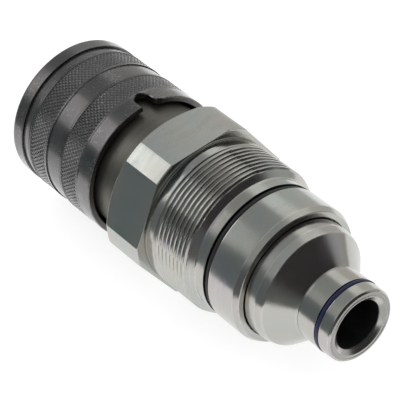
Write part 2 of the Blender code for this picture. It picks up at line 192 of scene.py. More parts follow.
def eased(outline, closed=True):
    """Round each corner of (station, radius, optional ease) points; give points and wear."""
    points, wear = [], []
    count = len(outline)
    for place, corner in enumerate(outline):
        here = Vector(corner[:2])
        ease = corner[2] if len(corner) > 2 else EASE
        lone = not closed and place in (0, count - 1)
        if lone or here.y == 0.0 or ease == 0.0:
            points.append(here)
            wear.append(0.0)
            continue
        before = Vector(outline[place - 1][:2]) - here
        after = Vector(outline[(place + 1) % count][:2]) - here
        first = here + before.normalized() * min(ease, before.length * EDGE_SHARE)
        last = here + after.normalized() * min(ease, after.length * EDGE_SHARE)
        points.append(first + before.normalized() * min(GUARD, before.length * GUARD_SHARE))
        wear.append(0.0)
        for step in range(EASE_STEPS + 1):
            share = step / EASE_STEPS
            points.append(first.lerp(here, share).lerp(here.lerp(last, share), share))
            wear.append(1.0 if 0 < step < EASE_STEPS else 0.35)
        points.append(last + after.normalized() * min(GUARD, after.length * GUARD_SHARE))
        wear.append(0.0)
    return points, wear


def angles(count):
    """Give evenly spaced angles for one turn."""
    return [2 * math.pi * step / count for step in range(count)]


def ring_of(point, turn):
    """Give the ring that an outline's point makes around the axis."""
    if point.y == 0.0:
        return [on_axis(point.x, 0.0, 0.0)]
    return [on_axis(point.x, point.y, angle) for angle in turn]


def turned(name, outline, count=192):
    """Turn a closed outline about the axis into a piece."""
    points, wear = eased(outline)
    work = bmesh.new()
    touches_axis = outline[0][1] == 0.0
    add_rings(work, [ring_of(point, angles(count)) for point in points], wear, not touches_axis)
    return finish_mesh(name, work)


def groove(first, last, top, floor, ease=EASE):
    """Give the outline points of a square groove."""
    return [(first, top, ease), (first, floor, 0.1), (last, floor, 0.1), (last, top, ease)]


# %% [markdown]
# Drilled holes, oil windows and the sleeve's notch are cut with Boolean modifiers, as a mill
# would cut them. The result is then made into a plain mesh, so that no modifier is left to
# change with the pose, and the cutter is thrown away.

# %% Cut with a tool, and finish a piece
def plain_mesh(item):
    """Give the mesh that an object's modifiers, or a curve's bevel, make."""
    view = bpy.context.evaluated_depsgraph_get()
    return bpy.data.meshes.new_from_object(item.evaluated_get(view))


def cut(piece, tool):
    """Cut a piece with a tool and keep the result as its mesh."""
    boolean = piece.modifiers.new("cut", "BOOLEAN")
    boolean.operation = "DIFFERENCE"
    boolean.solver = "EXACT"
    boolean.object = tool
    mesh = plain_mesh(piece)
    piece.modifiers.clear()
    piece.data = mesh
    shade(mesh)
    bpy.data.objects.remove(tool, do_unlink=True)
    return piece


def drills(name, places, radii, length):
    """Make round drills, each along a matrix's Z, as one cutting tool."""
    work = bmesh.new()
    narrow, wide = radii
    for place in places:
        bmesh.ops.create_cone(work, cap_ends=True, segments=48, radius1=narrow * MM,
                              radius2=wide * MM, depth=length * MM, matrix=place)
    return finish_mesh(name, work)


finished = {}


def stand_in(piece, node, material):
    """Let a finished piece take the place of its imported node."""
    piece.data.materials.clear()
    piece.data.materials.append(material)
    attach(piece, BODY_OF[node])
    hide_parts(node)
    finished[node] = piece
    return piece


# %% [markdown]
# ## Finishes
#
# All materials share a few effects. Each effect is a node group with named inputs, so one
# recipe serves bright zinc and black oxide with different values. The groups read the piece's
# own coordinates, so that a pattern stays on the metal when the piece moves.

# %% Helpers for node groups
def new_group(name, inputs, outputs):
    """Start a node group; inputs and outputs are (name, kind, default) and (name, kind)."""
    group = bpy.data.node_groups.new(name, "ShaderNodeTree")
    for title, kind, default in inputs:
        socket = group.interface.new_socket(title, in_out="INPUT", socket_type="NodeSocket" + kind)
        if default is not None:
            socket.default_value = default
    for title, kind in outputs:
        group.interface.new_socket(title, in_out="OUTPUT", socket_type="NodeSocket" + kind)
    return group, group.nodes.new("NodeGroupInput"), group.nodes.new("NodeGroupOutput")


def wire(tree, source, target):
    """Link an output to an input, or set the input if the source is a plain value."""
    if isinstance(source, bpy.types.NodeSocket):
        tree.links.new(source, target)
    elif source is not None:
        target.default_value = source


def set_inputs(tree, node, values):
    """Give a node's named inputs their values or links, and give the node."""
    for title, value in values.items():
        wire(tree, value, node.inputs[title])
    return node


def maths(tree, operation, one, two=None, three=None):
    """Add a math node and give its result."""
    node = tree.nodes.new("ShaderNodeMath")
    node.operation = operation
    for socket, value in zip(node.inputs, (one, two, three)):
        wire(tree, value, socket)
    return node.outputs[0]


def noise(tree, vector, scale, detail=2.0, roughness=0.5):
    """Add a noise texture and give its value."""
    node = set_inputs(tree, tree.nodes.new("ShaderNodeTexNoise"), {
        "Vector": vector, "Scale": scale, "Detail": detail, "Roughness": roughness})
    return node.outputs[0]


def spread(tree, value, low, high):
    """Stretch a value from low..high to 0..1 with soft ends."""
    node = tree.nodes.new("ShaderNodeMapRange")
    node.interpolation_type = "SMOOTHSTEP"
    set_inputs(tree, node, {"Value": value, "From Min": low, "From Max": high})
    return node.outputs[0]


def mix(tree, share, one, two):
    """Mix two colours; share is how much of the second there is."""
    node = tree.nodes.new("ShaderNodeMix")
    node.data_type = "RGBA"
    wire(tree, share, node.inputs["Factor"])
    wire(tree, one, node.inputs[6])
    wire(tree, two, node.inputs[7])
    return node.outputs[2]


def in_mm(tree, position):
    """Scale a position in metres to millimetres."""
    node = tree.nodes.new("ShaderNodeVectorMath")
    node.operation = "SCALE"
    wire(tree, position, node.inputs[0])
    wire(tree, 1 / MM, node.inputs["Scale"])
    return node.outputs[0]


# %% [markdown]
# A lathe leaves rings. Their spacing is the tool's feed, and they follow the cut: along the
# axis on a cylinder and along the radius on a face, so the group adds both to one coordinate.
# A little of the angle goes in too, which breaks the rings up into arcs as real ones are.

# %% Effect: turning marks
def turning_marks():
    """Build the group that draws the rings a lathe tool leaves."""
    group, given, made = new_group(
        "turning marks",
        [("Position", "Vector", None), ("Feed", "Float", 0.3), ("Breaks", "Float", 1.0)],
        [("Height", "Float"), ("Streak", "Float")])
    place = group.nodes.new("ShaderNodeSeparateXYZ")
    wire(group, in_mm(group, given.outputs["Position"]), place.inputs[0])
    along, side, up = place.outputs
    radius = maths(group, "SQRT", maths(group, "ADD", maths(group, "MULTIPLY", side, side),
                                        maths(group, "MULTIPLY", up, up)))
    radius = maths(group, "MAXIMUM", radius, 0.01)
    cut_place = maths(group, "DIVIDE", maths(group, "ADD", along, radius), given.outputs["Feed"])
    joined = group.nodes.new("ShaderNodeCombineXYZ")
    wire(group, cut_place, joined.inputs[0])
    for socket, share in ((1, side), (2, up)):
        turn = maths(group, "DIVIDE", share, radius)
        wire(group, maths(group, "MULTIPLY", turn, given.outputs["Breaks"]), joined.inputs[socket])
    wire(group, noise(group, joined.outputs[0], 1.0, 3.0, 0.6), made.inputs["Height"])
    slow = group.nodes.new("ShaderNodeVectorMath")
    slow.operation = "MULTIPLY"
    wire(group, joined.outputs[0], slow.inputs[0])
    slow.inputs[1].default_value = (0.23, 1.6, 1.6)
    wire(group, spread(group, noise(group, slow.outputs[0], 1.0, 2.0), 0.35, 0.7),
         made.inputs["Streak"])
    return group


TURNING = turning_marks()

# %% [markdown]
# Clear zinc plating is a thin film, and light that bounces inside it comes out faintly green,
# yellow, pink or blue. The tint could come from a real thin-film shader, but a slow cloud of pastel
# colours is steadier in every light and survives being baked.

# %% Effect: colours of the plating
PLATING_TINTS = ((0.20, (0.40, 0.48, 0.44, 1)), (0.42, (0.50, 0.50, 0.485, 1)),
                 (0.56, (0.53, 0.505, 0.42, 1)), (0.68, (0.53, 0.455, 0.50, 1)),
                 (0.85, (0.43, 0.48, 0.53, 1)))


def plating_colours():
    """Build the group that gives the plating its faint drifting colours."""
    group, given, made = new_group(
        "plating colours",
        [("Position", "Vector", None), ("Base", "Color", (0.7, 0.7, 0.7, 1)),
         ("Strength", "Float", 0.5), ("Patch", "Float", 0.09)],
        [("Colour", "Color")])
    spot = in_mm(group, given.outputs["Position"])
    cloud = noise(group, spot, given.outputs["Patch"], 3.0, 0.6)
    ramp = group.nodes.new("ShaderNodeValToRGB")
    ramp.color_ramp.interpolation = "B_SPLINE"
    while len(ramp.color_ramp.elements) < len(PLATING_TINTS):
        ramp.color_ramp.elements.new(0.5)
    for element, (place, colour) in zip(ramp.color_ramp.elements, PLATING_TINTS):
        element.position = place
        element.color = colour
    wire(group, cloud, ramp.inputs[0])
    tinted = mix(group, given.outputs["Strength"], given.outputs["Base"], ramp.outputs[0])
    wire(group, tinted, made.inputs["Colour"])
    return group


PLATING = plating_colours()

# %% [markdown]
# Handling leaves two kinds of mark: edges rubbed bright, and small pits and specks all over.
# The edges are known from the wear value stored on the mesh. Noise eats into it, because wear
# is never an even line. The specks are the rare peaks of a fine noise.

# %% Effect: wear and specks
def handling():
    """Build the group that gives worn edges, specks and greasy patches as masks."""
    group, given, made = new_group(
        "handling",
        [("Position", "Vector", None), ("Edge", "Float", 0.0), ("Wear", "Float", 0.5),
         ("Speck size", "Float", 0.25), ("Specks", "Float", 0.5)],
        [("Worn", "Float"), ("Speck", "Float"), ("Grease", "Float")])
    spot = in_mm(group, given.outputs["Position"])
    ragged = noise(group, spot, 0.9, 4.0, 0.7)
    rubbed = maths(group, "MULTIPLY", given.outputs["Edge"], spread(group, ragged, 0.32, 0.62))
    wire(group, maths(group, "MULTIPLY", rubbed, given.outputs["Wear"]), made.inputs["Worn"])
    fineness = maths(group, "DIVIDE", 1.0, given.outputs["Speck size"])
    fine = noise(group, spot, fineness, 2.0, 0.6)
    clumps = spread(group, noise(group, spot, 0.14, 2.0), 0.35, 0.65)
    rare = maths(group, "MULTIPLY", spread(group, fine, 0.56, 0.70), clumps)
    wire(group, maths(group, "MULTIPLY", rare, given.outputs["Specks"]), made.inputs["Speck"])
    wire(group, spread(group, noise(group, spot, 0.11, 3.0, 0.65), 0.30, 0.72),
         made.inputs["Grease"])
    return group


HANDLING = handling()

# %% [markdown]
# One function puts the effects together into a metal. The shader stays in the material; the
# groups only feed its colour, its roughness and a bump. What differs between finishes is kept
# in the call: how bright, how rough, how strongly ringed and how worn.

# %% A function that makes any of the metals
BUMP_DISTANCE = 0.02 * MM       # how high the finest marks stand
RING_DARKNESS = 0.72            # share of its brightness that a ring's dark side keeps


def new_material(name):
    """Start a material; give it with its node tree and its shader."""
    material = bpy.data.materials.new(name)
    material.use_nodes = True
    return material, material.node_tree, material.node_tree.nodes["Principled BSDF"]


def place_group(tree, group, values):
    """Add a node group with its values and give the node."""
    node = tree.nodes.new("ShaderNodeGroup")
    node.node_tree = group
    return set_inputs(tree, node, values)


def bumped(tree, strength, height):
    """Give the surface normal that a height makes."""
    node = set_inputs(tree, tree.nodes.new("ShaderNodeBump"), {
        "Strength": strength, "Distance": BUMP_DISTANCE, "Height": height})
    return node.outputs[0]


def make_metal(name, base, worn, speck, roughness, feed, ring, wear, specks,
               tint=0.0, patch=0.09, speck_size=0.25, rough_range=0.12, oil=0.0):
    """Make a metal finish from the shared effects, with a film of oil if it has one."""
    material, tree, shader = new_material(name)
    set_inputs(tree, shader, {"Metallic": 1.0, "Coat Weight": oil, "Coat Roughness": 0.16})
    position = tree.nodes.new("ShaderNodeTexCoord").outputs["Object"]
    edge = tree.nodes.new("ShaderNodeAttribute")
    edge.attribute_name = WEAR
    rings = place_group(tree, TURNING, {"Position": position, "Feed": feed, "Breaks": 0.9})
    plate = place_group(tree, PLATING, {"Position": position, "Base": (*base, 1),
                                        "Strength": tint, "Patch": patch})
    hands = place_group(tree, HANDLING, {"Position": position, "Edge": edge.outputs["Fac"],
                                         "Wear": wear, "Speck size": speck_size,
                                         "Specks": specks})
    ringed = mix(tree, maths(tree, "MULTIPLY", rings.outputs["Streak"], ring),
                 plate.outputs["Colour"], tuple(RING_DARKNESS * c for c in base) + (1,))
    specked = mix(tree, hands.outputs["Speck"], ringed, (*speck, 1))
    rubbed = mix(tree, hands.outputs["Worn"], specked, (*worn, 1))
    rough = maths(tree, "MULTIPLY_ADD", hands.outputs["Grease"], rough_range, roughness)
    rough = maths(tree, "MULTIPLY_ADD", rings.outputs["Streak"], rough_range * 0.6, rough)
    height = maths(tree, "SUBTRACT", rings.outputs["Height"],
                   maths(tree, "MULTIPLY", hands.outputs["Speck"], 0.8))
    set_inputs(tree, shader, {"Base Color": rubbed, "Roughness": rough,
                              "Normal": bumped(tree, ring, height)})
    return material


# %% [markdown]
# The housing and nose are plated, so they are bright and cool with drifting colours. The
# sleeve is blackened and oiled: the dark film is thin, so it stays a metal with a low
# reflectance and coarse specks, under a glossy coat. The socket's collar has a brown-grey
# phosphate coat. Balls and valve parts are ground, and springs are bright drawn wire. Bores
# and grooves get painted shade: a dull dark metal of their own that stands in for the shade inside
# them.

# %% The metals
ZINC = make_metal("zinc plate", base=(0.42, 0.428, 0.417), worn=(0.58, 0.58, 0.56),
                  speck=(0.24, 0.24, 0.23), roughness=0.16, feed=0.34, tint=0.60, patch=0.05,
                  ring=0.10, wear=0.7, specks=0.45, rough_range=0.06)
BLACKENED = make_metal("blackened steel", base=(0.118, 0.112, 0.113), worn=(0.32, 0.31, 0.30),
                       speck=(0.38, 0.38, 0.38), roughness=0.22, feed=0.5, ring=0.24,
                       wear=0.50, specks=0.90, speck_size=0.42, rough_range=0.14, oil=0.8)
PHOSPHATE = make_metal("phosphated steel", base=(0.185, 0.176, 0.156), worn=(0.34, 0.32, 0.28),
                       speck=(0.11, 0.105, 0.095), roughness=0.40, feed=0.28, ring=0.35,
                       wear=0.4, specks=0.5)
GROUND = make_metal("ground steel", base=(0.70, 0.70, 0.70), worn=(0.85, 0.85, 0.85),
                    speck=(0.45, 0.45, 0.45), roughness=0.10, feed=0.16, ring=0.18,
                    wear=0.4, specks=0.2)
DRAWN = make_metal("drawn spring wire", base=(0.42, 0.42, 0.44), worn=(0.62, 0.62, 0.62),
                   speck=(0.22, 0.20, 0.18), roughness=0.24, feed=0.22, ring=0.30,
                   wear=0.6, specks=0.5)
# painted shade: a dull dark metal that stands in for the shade inside bores and grooves
RECESS_SHADE = make_metal("painted recess shade", base=(0.11, 0.112, 0.115), worn=(0.30, 0.30, 0.29),
                  speck=(0.03, 0.03, 0.03), roughness=0.28, feed=0.4, ring=0.3,
                  wear=0.3, specks=0.6)
print(len(bpy.data.node_groups), "effects shared by", len(bpy.data.materials), "materials")

# %% [markdown]
# Moulded rubber isn't one black: it has a bloom of wax, a trace of the mould's seam and a
# grain too fine to see but wide enough to blur what it reflects. The same handling group
# gives the bloom, and a fine noise gives the grain. The blue ring is a harder compound.

# %% The rubbers and the backup ring
GRAIN = 0.18                    # strength of the rubber's grain


def make_rubber(name, base, bloom, roughness):
    """Make a rubber or a plastic with a faint bloom and a fine grain."""
    material, tree, shader = new_material(name)
    position = tree.nodes.new("ShaderNodeTexCoord").outputs["Object"]
    hands = place_group(tree, HANDLING, {"Position": position, "Speck size": 0.12,
                                         "Specks": 0.35, "Edge": 0.0, "Wear": 0.0})
    bloomed = mix(tree, maths(tree, "MULTIPLY", hands.outputs["Grease"], 0.6), (*base, 1),
                  (*bloom, 1))
    dusty = mix(tree, maths(tree, "MULTIPLY", hands.outputs["Speck"], 0.5), bloomed,
                tuple(min(1.0, 2.2 * c) for c in bloom) + (1,))
    rough = maths(tree, "MULTIPLY_ADD", hands.outputs["Grease"], 0.15, roughness)
    fine = noise(tree, in_mm(tree, position), 9.0, 3.0, 0.6)
    set_inputs(tree, shader, {"Specular IOR Level": 0.45, "Base Color": dusty,
                              "Roughness": rough, "Normal": bumped(tree, GRAIN, fine)})
    return material


BLACK_RUBBER = make_rubber("black rubber", (0.010, 0.010, 0.011), (0.022, 0.022, 0.023), 0.42)
BLUE_RUBBER = make_rubber("blue rubber", (0.006, 0.010, 0.045), (0.012, 0.018, 0.070), 0.36)
BACKUP_PLASTIC = make_rubber("backup ring plastic", (0.74, 0.73, 0.68), (0.80, 0.79, 0.75), 0.48)

# %% [markdown]
# ## The locking sleeve
#
# The operator grips the sleeve, so two bands are cut with a diamond knurl: crossing helical
# grooves that leave small pyramids. A bump map would look flat at the outline, and a dense
# displaced grid would blur the grooves. Here the grid's own diagonals are the grooves, so a
# few points per diamond give crisp valleys. The height of a point only depends on how far it
# is, in grid steps, from the nearest groove of either hand.

# %% The knurl's rule
SLEEVE_FRONT, SLEEVE_REAR = ends("locking_sleeve")
SLEEVE_RADIUS = reach("locking_sleeve")
KNURL_RADIUS = SLEEVE_RADIUS - 0.05
KNURL_DEPTH = 0.28
GROOVES_AROUND = 110
SLEEVE_COLUMNS = GROOVES_AROUND * 4
KNURL_HELIX = math.radians(39)  # between a groove and the axis
KNURL_STEP = 2 * math.pi * KNURL_RADIUS / SLEEVE_COLUMNS / math.tan(KNURL_HELIX)
KNURL_ROWS = 19                 # steps along each band
KNURL_HEIGHTS = (0.0, 0.62, 1.0)
TIP_FOCUS = 4                   # how closely the wear keeps to the diamonds' tips


def knurl_height(column, row):
    """Give the height of a knurl's point, from 0 in a groove to 1 on a diamond's tip."""
    if row in (0, KNURL_ROWS):
        return 1.0
    steps = min(min((column + row) % 4, -(column + row) % 4),
                min((column - row) % 4, -(column - row) % 4))
    return KNURL_HEIGHTS[steps]


def knurled_band(first_station):
    """Give a knurled band's rings."""
    rings = []
    turn = angles(SLEEVE_COLUMNS)
    for row in range(KNURL_ROWS + 1):
        station = first_station + row * KNURL_STEP
        heights = [knurl_height(column, row) for column in range(SLEEVE_COLUMNS)]
        rings.append([on_axis(station, KNURL_RADIUS - KNURL_DEPTH * (1 - height), angle)
                      for height, angle in zip(heights, turn)])
    return rings


print(f"knurl: {GROOVES_AROUND} grooves of each hand, step along {KNURL_STEP:.3f} mm")

# %% [markdown]
# The sleeve's outline runs from the mouth back to the edge by the hex: a smooth rim, a
# narrow dark groove, a neck that rises to the front knurl, a plain waist, the rear knurl and
# a smooth band. Inside are the wide bore for the spring, and the long ramp that holds the
# eight balls in. The outline is eased as usual, and the two knurled bands go in between.

# %% Turn and knurl the sleeve
FRONT_KNURL = SLEEVE_FRONT + 7.85
REAR_KNURL = SLEEVE_FRONT + 21.75
KNURL_LENGTH = KNURL_ROWS * KNURL_STEP
BALL_LAND = 16.3                # radius of the band that holds the balls in
RAMP_RISE = 1.02                # how much the ramp widens towards the mouth
SLEEVE_BORE = 19.3
MOUTH = 17.9


def sleeve_rings():
    """Give the sleeve's rings, their wear and the rows where its two knurls start."""
    waist = KNURL_RADIUS - 0.25
    front_end = FRONT_KNURL + KNURL_LENGTH
    rear_end = REAR_KNURL + KNURL_LENGTH
    between = [(front_end + 0.25, KNURL_RADIUS, 0.1), (front_end + 0.6, waist, 0.2),
               (REAR_KNURL - 0.6, waist, 0.2), (REAR_KNURL - 0.25, KNURL_RADIUS, 0.1)]
    inside = [(rear_end + 0.25, KNURL_RADIUS, 0.1), (rear_end + 0.5, KNURL_RADIUS - 0.08, 0.1),
              (SLEEVE_REAR, KNURL_RADIUS - 0.08, 0.28), (SLEEVE_REAR, SLEEVE_BORE, 0.2),
              (SLEEVE_FRONT + 12.75, SLEEVE_BORE, 0.3),
              (SLEEVE_FRONT + 12.75, BALL_LAND, 0.2), (SLEEVE_FRONT + 9.5, BALL_LAND, 0.4),
              (SLEEVE_FRONT + 3.55, BALL_LAND + RAMP_RISE, 0.15),
              (SLEEVE_FRONT + 3.55, MOUTH, 0.2), (SLEEVE_FRONT + 0.6, MOUTH, 0.1),
              (SLEEVE_FRONT, MOUTH + 0.6, 0.1), (SLEEVE_FRONT, SLEEVE_RADIUS, 0.6),
              (SLEEVE_FRONT + 4.1, SLEEVE_RADIUS, 0.15),
              (SLEEVE_FRONT + 4.15, SLEEVE_RADIUS - 0.78, 0.05),
              (SLEEVE_FRONT + 4.4, SLEEVE_RADIUS - 0.78, 0.05),
              (SLEEVE_FRONT + 4.5, SLEEVE_RADIUS - 0.55, 0.1),
              (SLEEVE_FRONT + 6.9, SLEEVE_RADIUS - 0.27, 0.1),
              (SLEEVE_FRONT + 7.1, SLEEVE_RADIUS - 0.42, 0.08),
              (FRONT_KNURL - 0.25, KNURL_RADIUS, 0.1)]
    turn = angles(SLEEVE_COLUMNS)
    rings, wear, knurl_rows = [], [], []
    for first, outline in ((FRONT_KNURL, between), (REAR_KNURL, inside)):
        knurl_rows.append(len(rings))
        rings += knurled_band(first)
        wear += [0.0] * (KNURL_ROWS + 1)
        points, rubbed = eased(outline)
        rings += [ring_of(point, turn) for point in points]
        wear += rubbed
    return rings, wear, knurl_rows


def build_sleeve():
    """Skin the sleeve's rings, and let the tips of its knurls shine with wear."""
    rings, wear, knurl_rows = sleeve_rings()

    def diagonal(column, step):
        """Split a knurl's faces along its grooves, and leave all others whole."""
        for first in knurl_rows:
            if first <= step < first + KNURL_ROWS:
                return (column + step - first) % 2 == 0
        return None

    work = bmesh.new()
    rows = add_rings(work, rings, wear, True, diagonal)
    layer = work.verts.layers.float[WEAR]
    for first in knurl_rows:
        for row in range(1, KNURL_ROWS):
            for column, vert in enumerate(rows[first + row]):
                vert[layer] = knurl_height(column, row) ** TIP_FOCUS
    return finish_mesh("locking_sleeve_finished", work)


sleeve = build_sleeve()
print("sleeve:", len(sleeve.data.polygons), "faces")

# %% [markdown]
# The notch in the sleeve's rear edge is what makes the lock safe: turned against its pin, the
# sleeve can't slide back. It is milled with a round cutter, one wall straight and the other
# swept out into the edge. The cutter here is drawn on the rolled-out sleeve and wrapped
# round it, and it flares at the top, so that the cut comes out with a small chamfer.

# %% Mill the notch
NOTCH_ANGLE = math.radians(6.4)
NOTCH_HALF = 2.3                # half of the cutter's width
NOTCH_DEPTH = 5.1
NOTCH_SWEEP = 2.0               # radius of the swept wall
NOTCH_FLOOR = 18.6              # radius inside the sleeve's bore where the cutter ends
BEYOND_EDGE = 1.5               # how far the cutter stands out past the sleeve's edge


def notch_edge(grow):
    """Give the notch's edge as (station, sideways) points, grown outward by a margin."""
    half = NOTCH_HALF + grow
    centre = SLEEVE_REAR - NOTCH_DEPTH + NOTCH_HALF
    beyond = SLEEVE_REAR + BEYOND_EDGE
    points = [(beyond, -half)]
    for step in range(25):
        angle = math.pi * (step / 24 + 0.5)
        points.append((centre + half * math.cos(angle), -half * math.sin(angle)))
    sweep = NOTCH_SWEEP - grow
    side = NOTCH_HALF + NOTCH_SWEEP
    for step in range(15):
        angle = math.pi / 2 * step / 15
        points.append((SLEEVE_REAR - NOTCH_SWEEP + sweep * math.sin(angle),
                       side - sweep * math.cos(angle)))
    points.append((SLEEVE_REAR - grow, side))
    points.append((beyond, side))
    return points


def notch_cutter():
    """Make the cutter: straight down the wall, and flared above the sleeve's surface."""
    layers = ((NOTCH_FLOOR, 0.0), (KNURL_RADIUS - 0.33, 0.0), (KNURL_RADIUS + 0.6, 0.68))
    work = bmesh.new()
    rows = []
    for radius, grow in layers:
        rows.append([work.verts.new(on_axis(station, radius, NOTCH_ANGLE + side / KNURL_RADIUS))
                     for station, side in notch_edge(grow)])
    for low, high in zip(rows, rows[1:]):
        for place in range(len(low)):
            after = (place + 1) % len(low)
            work.faces.new((low[place], low[after], high[after], high[place]))
    work.faces.new(rows[0])
    work.faces.new(rows[-1])
    bmesh.ops.triangulate(work, faces=[f for f in work.faces if len(f.verts) > 4])
    return finish_mesh("notch_cutter", work)


stand_in(cut(sleeve, notch_cutter()), "locking_sleeve", BLACKENED)
print("notch cut, sleeve now", len(sleeve.data.polygons), "faces")

# %% [markdown]
# ## The housing
#
# The housing is one bar of hexagon steel, turned, threaded and bored. The hexagon's corners
# were turned off first, so six narrow round strips remain between the flats, and a chamfer
# cuts an arc into the front of each flat. Every column of points follows the same outline
# with its own radius, and columns stand exactly where a flat ends, so those edges are true.

# %% The hexagon's columns
HEX_FRONT = ends("cartridge_housing")[0]
HOUSING_END = ends("cartridge_housing")[1]
HEX_REAR = 0.8
HALF_FLATS = -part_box("cartridge_housing")[0].z / MM
CORNER_RADIUS = reach("cartridge_housing")
CHAMFER_START = HALF_FLATS - 0.05
CHAMFER_LENGTH = 1.5
HOUSING_COLUMNS = 288
FLAT_HALF_ANGLE = math.acos(HALF_FLATS / CORNER_RADIUS)


def off_flat(angle):
    """Give the angle from the middle of the nearest flat; one flat faces straight up."""
    sixth = math.pi / 3
    return (angle + sixth / 2) % sixth - sixth / 2


def hexagon_columns(count, half_angle):
    """Give even angles, with the ones nearest a flat's edge moved onto it."""
    turn = angles(count)
    for side in range(6):
        for sign in (-1, 1):
            edge = (side * math.pi / 3 + sign * half_angle) % (2 * math.pi)
            turn[round(edge / (2 * math.pi) * count) % count] = edge
    return turn


def hexagon_radius(angle, half_flats, corner):
    """Give the radius of a hexagon with turned corners."""
    return min(corner, half_flats / math.cos(off_flat(angle)))


# %% [markdown]
# The mounting thread is M42 with a fine pitch of 1.5 mm. A stack of rings would do at a
# distance, but a thread is one groove that climbs. The rows of points here climb with it: at
# each angle the rows are shifted by that share of the pitch, and after one turn a row meets
# the next groove's. Rows that run past an end are held there, where they merge into the ring
# of the plain part, and the groove's depth fades out towards the hexagon. The groove here is
# shallower than the standard thread's and its crest is broader, because the dark lines
# between the crests are narrow on this one.

# %% The thread's rule
THREAD_RADIUS = 21.0
PITCH = 1.5
THREAD_DEPTH = 0.62
CREST_SHARE = 0.30              # share of the pitch that the crest's flat takes up
ROOT_START = 0.86               # where the flank meets the root, from 0 on a crest to 1
THREAD_FRONT = 3.6              # the groove runs out here, by the plain band
FADE_LENGTH = 1.3
CONE_START = 16.35              # the thread's end is coned down to the seal land
CONE_LENGTH = 1.9
LAND_RADIUS = 19.2
LAND_STEP = 0.1                 # the cone ends this much above the land
THREAD_END = CONE_START + 1.25
ROWS_PER_TURN = 12


def clamp(value, low, high):
    """Keep a value between two limits."""
    return max(low, min(high, value))


def blank_radius(station):
    """Give the radius of the blank before threading."""
    share = clamp((station - CONE_START) / CONE_LENGTH, 0.0, 1.0)
    return THREAD_RADIUS - share * (THREAD_RADIUS - LAND_RADIUS - LAND_STEP)


def thread_radius(station, phase):
    """Give the thread's radius; phase runs from 0 on one crest to 1 on the next."""
    away = 2 * abs(phase - round(phase))            # 0 on a crest, 1 in a root
    dip = clamp((away - CREST_SHARE) / (ROOT_START - CREST_SHARE), 0.0, 1.0)
    dip = dip * dip * (3 - 2 * dip) * 0.4 + dip * 0.6
    fade = clamp((station - THREAD_FRONT) / FADE_LENGTH, 0.0, 1.0)
    return min(THREAD_RADIUS - THREAD_DEPTH * dip * fade, blank_radius(station))


def add_thread(work, turn):
    """Add the thread's climbing rows between its two end rings."""
    layer = work.verts.layers.float[WEAR]
    rows = int((THREAD_END - THREAD_FRONT) / PITCH * ROWS_PER_TURN) + ROWS_PER_TURN + 2
    columns = []
    for angle in turn + [2 * math.pi]:
        climbed = angle / (2 * math.pi)
        column = []
        for row in range(rows):
            turns = row / ROWS_PER_TURN - climbed
            station = clamp(THREAD_FRONT + turns * PITCH, THREAD_FRONT, THREAD_END)
            vert = work.verts.new(on_axis(station, thread_radius(station, turns), angle))
            vert[layer] = 1.0 if row % ROWS_PER_TURN == 0 and station < THREAD_END else 0.0
            column.append(vert)
        columns.append(column)
    for one, two in zip(columns, columns[1:]):
        for row in range(rows - 1):
            work.faces.new((one[row], one[row + 1], two[row + 1], two[row]))
    bmesh.ops.remove_doubles(work, verts=work.verts, dist=SAME_PLACE)


# %% [markdown]
# With both rules in hand, the housing is one strip of rings from the thread's far end, round
# the nose end, through the bore, over the hexagon and back to the thread, and the climbing
# rows close it. Each column eases its own outline, so the rim of every flat is eased too. The
# groove of the black ring is then given painted shade, a dull dark metal, so that it reads as a
# dark line.

# %% Build the housing
SEAL_GROOVE = (21.55, 23.55)
PORT_RING = (30.5, 31.9)        # where the snap ring holds the nose piece
PORT_BORE = 16.9
PORT_SHOULDER = 25.0
CHAMBER = 13.5
SHANK_BORE = 15.7
SHANK_SHOULDER = 1.6


def housing_outline(angle):
    """Give the housing's outline at one angle, from the thread's end to its start."""
    radius = hexagon_radius(angle, HALF_FLATS, CORNER_RADIUS)
    share = (radius - CHAMFER_START) / (CORNER_RADIUS - CHAMFER_START)
    chamfer_end = HEX_FRONT + CHAMFER_LENGTH * share
    return [
        (THREAD_END, blank_radius(THREAD_END)),
        (CONE_START + CONE_LENGTH, LAND_RADIUS + LAND_STEP, 0.1),
        (CONE_START + CONE_LENGTH + 0.3, LAND_RADIUS, 0.3),
        *groove(*SEAL_GROOVE, LAND_RADIUS, 17.4, 0.1),
        (HOUSING_END - 1.6, LAND_RADIUS, 0.15), (HOUSING_END, LAND_RADIUS - 0.8, 0.2),
        (HOUSING_END, PORT_BORE, 0.12),
        *groove(PORT_RING[1], PORT_RING[0], PORT_BORE, PORT_BORE + 0.8),
        (PORT_SHOULDER, PORT_BORE, 0.1), (PORT_SHOULDER, CHAMBER, 0.2),
        (SHANK_SHOULDER, CHAMBER, 0.2), (SHANK_SHOULDER, SHANK_BORE, 0.1),
        (HEX_FRONT, SHANK_BORE, 0.2), (HEX_FRONT, CHAMFER_START, 0.1),
        (chamfer_end, radius, 0.1), (HEX_REAR, radius, 0.22),
        (HEX_REAR, THREAD_RADIUS - 0.35, 0.05), (HEX_REAR + 0.35, THREAD_RADIUS - 0.3, 0.05),
        (HEX_REAR + 0.75, THREAD_RADIUS, 0.25), (THREAD_FRONT, THREAD_RADIUS)]


def column_rings(outline_at, turn, closed=True):
    """Ease the outline at each angle; give the rings through the columns and their wear."""
    columns = [eased(outline_at(angle), closed) for angle in turn]
    wear = columns[0][1]
    rings = [[on_axis(*points[place], angle) for (points, _), angle in zip(columns, turn)]
             for place in range(len(wear))]
    return rings, wear


def build_housing():
    """Skin the housing's columns and close them with the thread."""
    turn = hexagon_columns(HOUSING_COLUMNS, FLAT_HALF_ANGLE)
    work = bmesh.new()
    add_rings(work, *column_rings(housing_outline, turn, closed=False), closed=False)
    add_thread(work, turn)
    return finish_mesh("cartridge_housing_finished", work, HEXAGON_SHARP)


